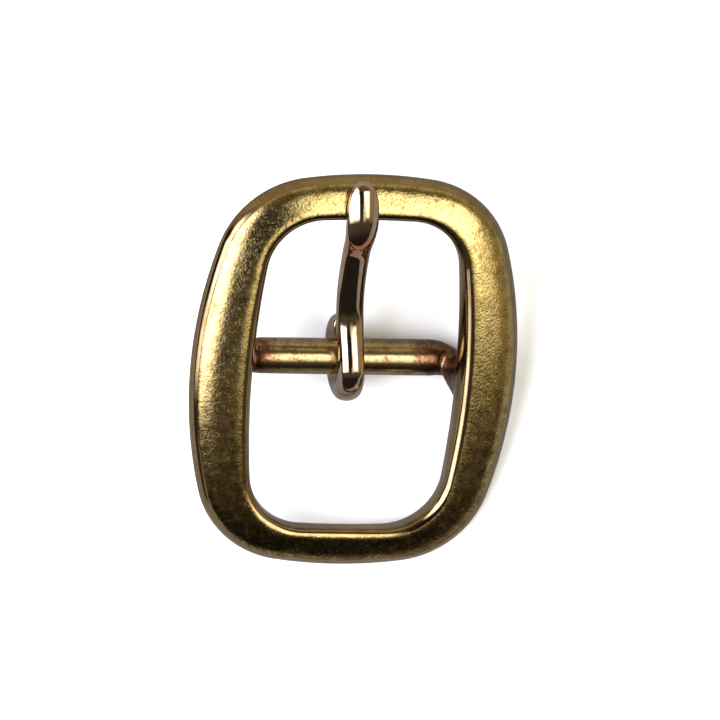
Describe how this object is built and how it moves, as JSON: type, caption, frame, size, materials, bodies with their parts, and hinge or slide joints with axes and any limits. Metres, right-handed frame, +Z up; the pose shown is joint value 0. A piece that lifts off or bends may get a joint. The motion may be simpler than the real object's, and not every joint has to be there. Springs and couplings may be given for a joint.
{
  "type": "halter buckle",
  "caption": "Centre-bar halter buckle: rounded cast frame with a dropped strap bar, and a bent wire prong that swings on the bar and rests in a notch of the top rail.",
  "frame": {"origin": "middle of the round strap bar, on its axis, which is also the hinge axis of the prong", "axes": "+Z up from the table the buckle lies on, +Y towards the end rail that the prong's tip rests on, +X to the right seen from above with the domed face up. The buckle's own plane leans 15.5 degrees down towards -Y and 16.8 degrees down towards +X, as it comes to rest."},
  "size_m": [0.0388, 0.0479, 0.0207],
  "materials": {
    "antique_brass": "satin, sandblasted and darkened face with polished edges",
    "dark_bronze": "polished and darkened"
  },
  "bodies": {
    "frame": {"frame": "antique_brass"},
    "prong": {"prong": "dark_bronze"}
  },
  "joints": [
    {"name": "prong_hinge", "type": "hinge", "parent": "frame", "child": "prong", "pos_m": [0, 0, 0], "axis": [0.9573, 0, -0.289], "range_deg": [0, 134]}
  ]
}
